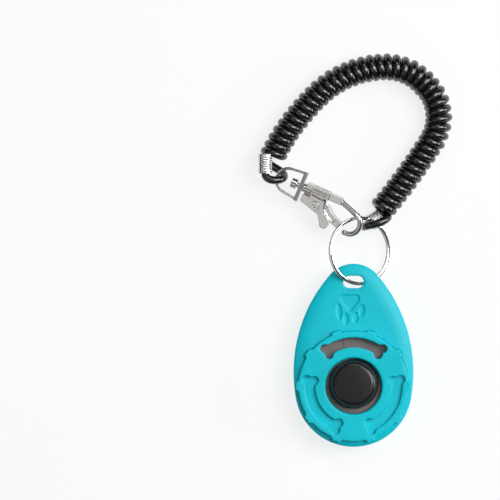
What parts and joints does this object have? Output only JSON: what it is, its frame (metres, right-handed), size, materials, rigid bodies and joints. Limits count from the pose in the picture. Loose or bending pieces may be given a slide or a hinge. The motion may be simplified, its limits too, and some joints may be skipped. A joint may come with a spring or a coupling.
{
  "type": "training clicker with wrist strap",
  "caption": "Teardrop animal-training clicker with a domed push button in a bone-patterned trim ring, on a split ring with a coiled wrist strap and a swivel trigger snap.",
  "frame": {"origin": "on the case's flat back, below the centre of its round trim ring", "axes": "+Y towards the lug and the strap, +Z out of the front through the button, +X to the right seen from the front"},
  "size_m": [0.0703, 0.142, 0.0153],
  "materials": {
    "case_plastic": "satin turquoise moulding with a fine matte grain",
    "button_plastic": "gloss black moulding",
    "inner_plastic": "warm grey moulding, slightly glossy",
    "spring_steel": "rolled spring steel",
    "nickel_plate": "bright nickel plating",
    "cord_plastic": "gloss black plastic cord"
  },
  "bodies": {
    "case": {"bottom_shell": "case_plastic", "top_shell": "case_plastic", "trim_ring": "case_plastic", "inner_plate": "inner_plastic", "reed_clip": "spring_steel"},
    "button": {"button_cap": "button_plastic", "button_post": "inner_plastic"},
    "reed": {"click_reed": "spring_steel"},
    "ring": {"split_ring": "nickel_plate"},
    "strap": {"ring_end_ferrule": "nickel_plate", "ring_end_loop": "cord_plastic", "coil": "cord_plastic", "clasp_end_loop": "cord_plastic", "clasp_end_ferrule": "nickel_plate", "swivel_pin": "nickel_plate", "hook_body": "nickel_plate", "gate_rivet": "nickel_plate", "gate_spring": "spring_steel"},
    "bail": {"swivel_bail": "nickel_plate"},
    "gate": {"gate_lever": "nickel_plate"}
  },
  "joints": [
    {"name": "button_press", "type": "slide", "parent": "case", "child": "button", "axis": [0, 0, -1], "range_m": [0, 0.0012], "stiffness_N_per_m": 1500},
    {"name": "reed_flex", "type": "hinge", "parent": "case", "child": "reed", "pos_m": [0.0003, 0.0133, 0.00475], "axis": [1, 0, 0], "range_deg": [0, 5.7]},
    {"name": "ring_swing", "type": "hinge", "parent": "case", "child": "ring", "pos_m": [0.0022, 0.03685, 0.0085], "axis": [0.8829, 0, -0.4695], "range_deg": [0, 70]},
    {"name": "strap_swing", "type": "hinge", "parent": "ring", "child": "strap", "pos_m": [-0.00121, 0.0599, 0.01031], "axis": [0.8754, -0.1305, -0.4655], "range_deg": [-10, 45]},
    {"name": "bail_swivel", "type": "hinge", "parent": "strap", "child": "bail", "pos_m": [-0.0188, 0.0719, 0.00805], "axis": [0.8968, -0.3993, 0.1908], "range_deg": [-10, 20]},
    {"name": "gate_open", "type": "hinge", "parent": "strap", "child": "gate", "pos_m": [-0.01365, 0.06529, 0.00802], "axis": [-0.3029, -0.2395, 0.9224], "range_deg": [0, 12], "stiffness_Nm_per_rad": 0.02, "springref_deg": -17.19}
  ],
  "couplings": [
    {"joint": "reed_flex", "follows": "button_press", "rad_per_m": 81.3}
  ]
}
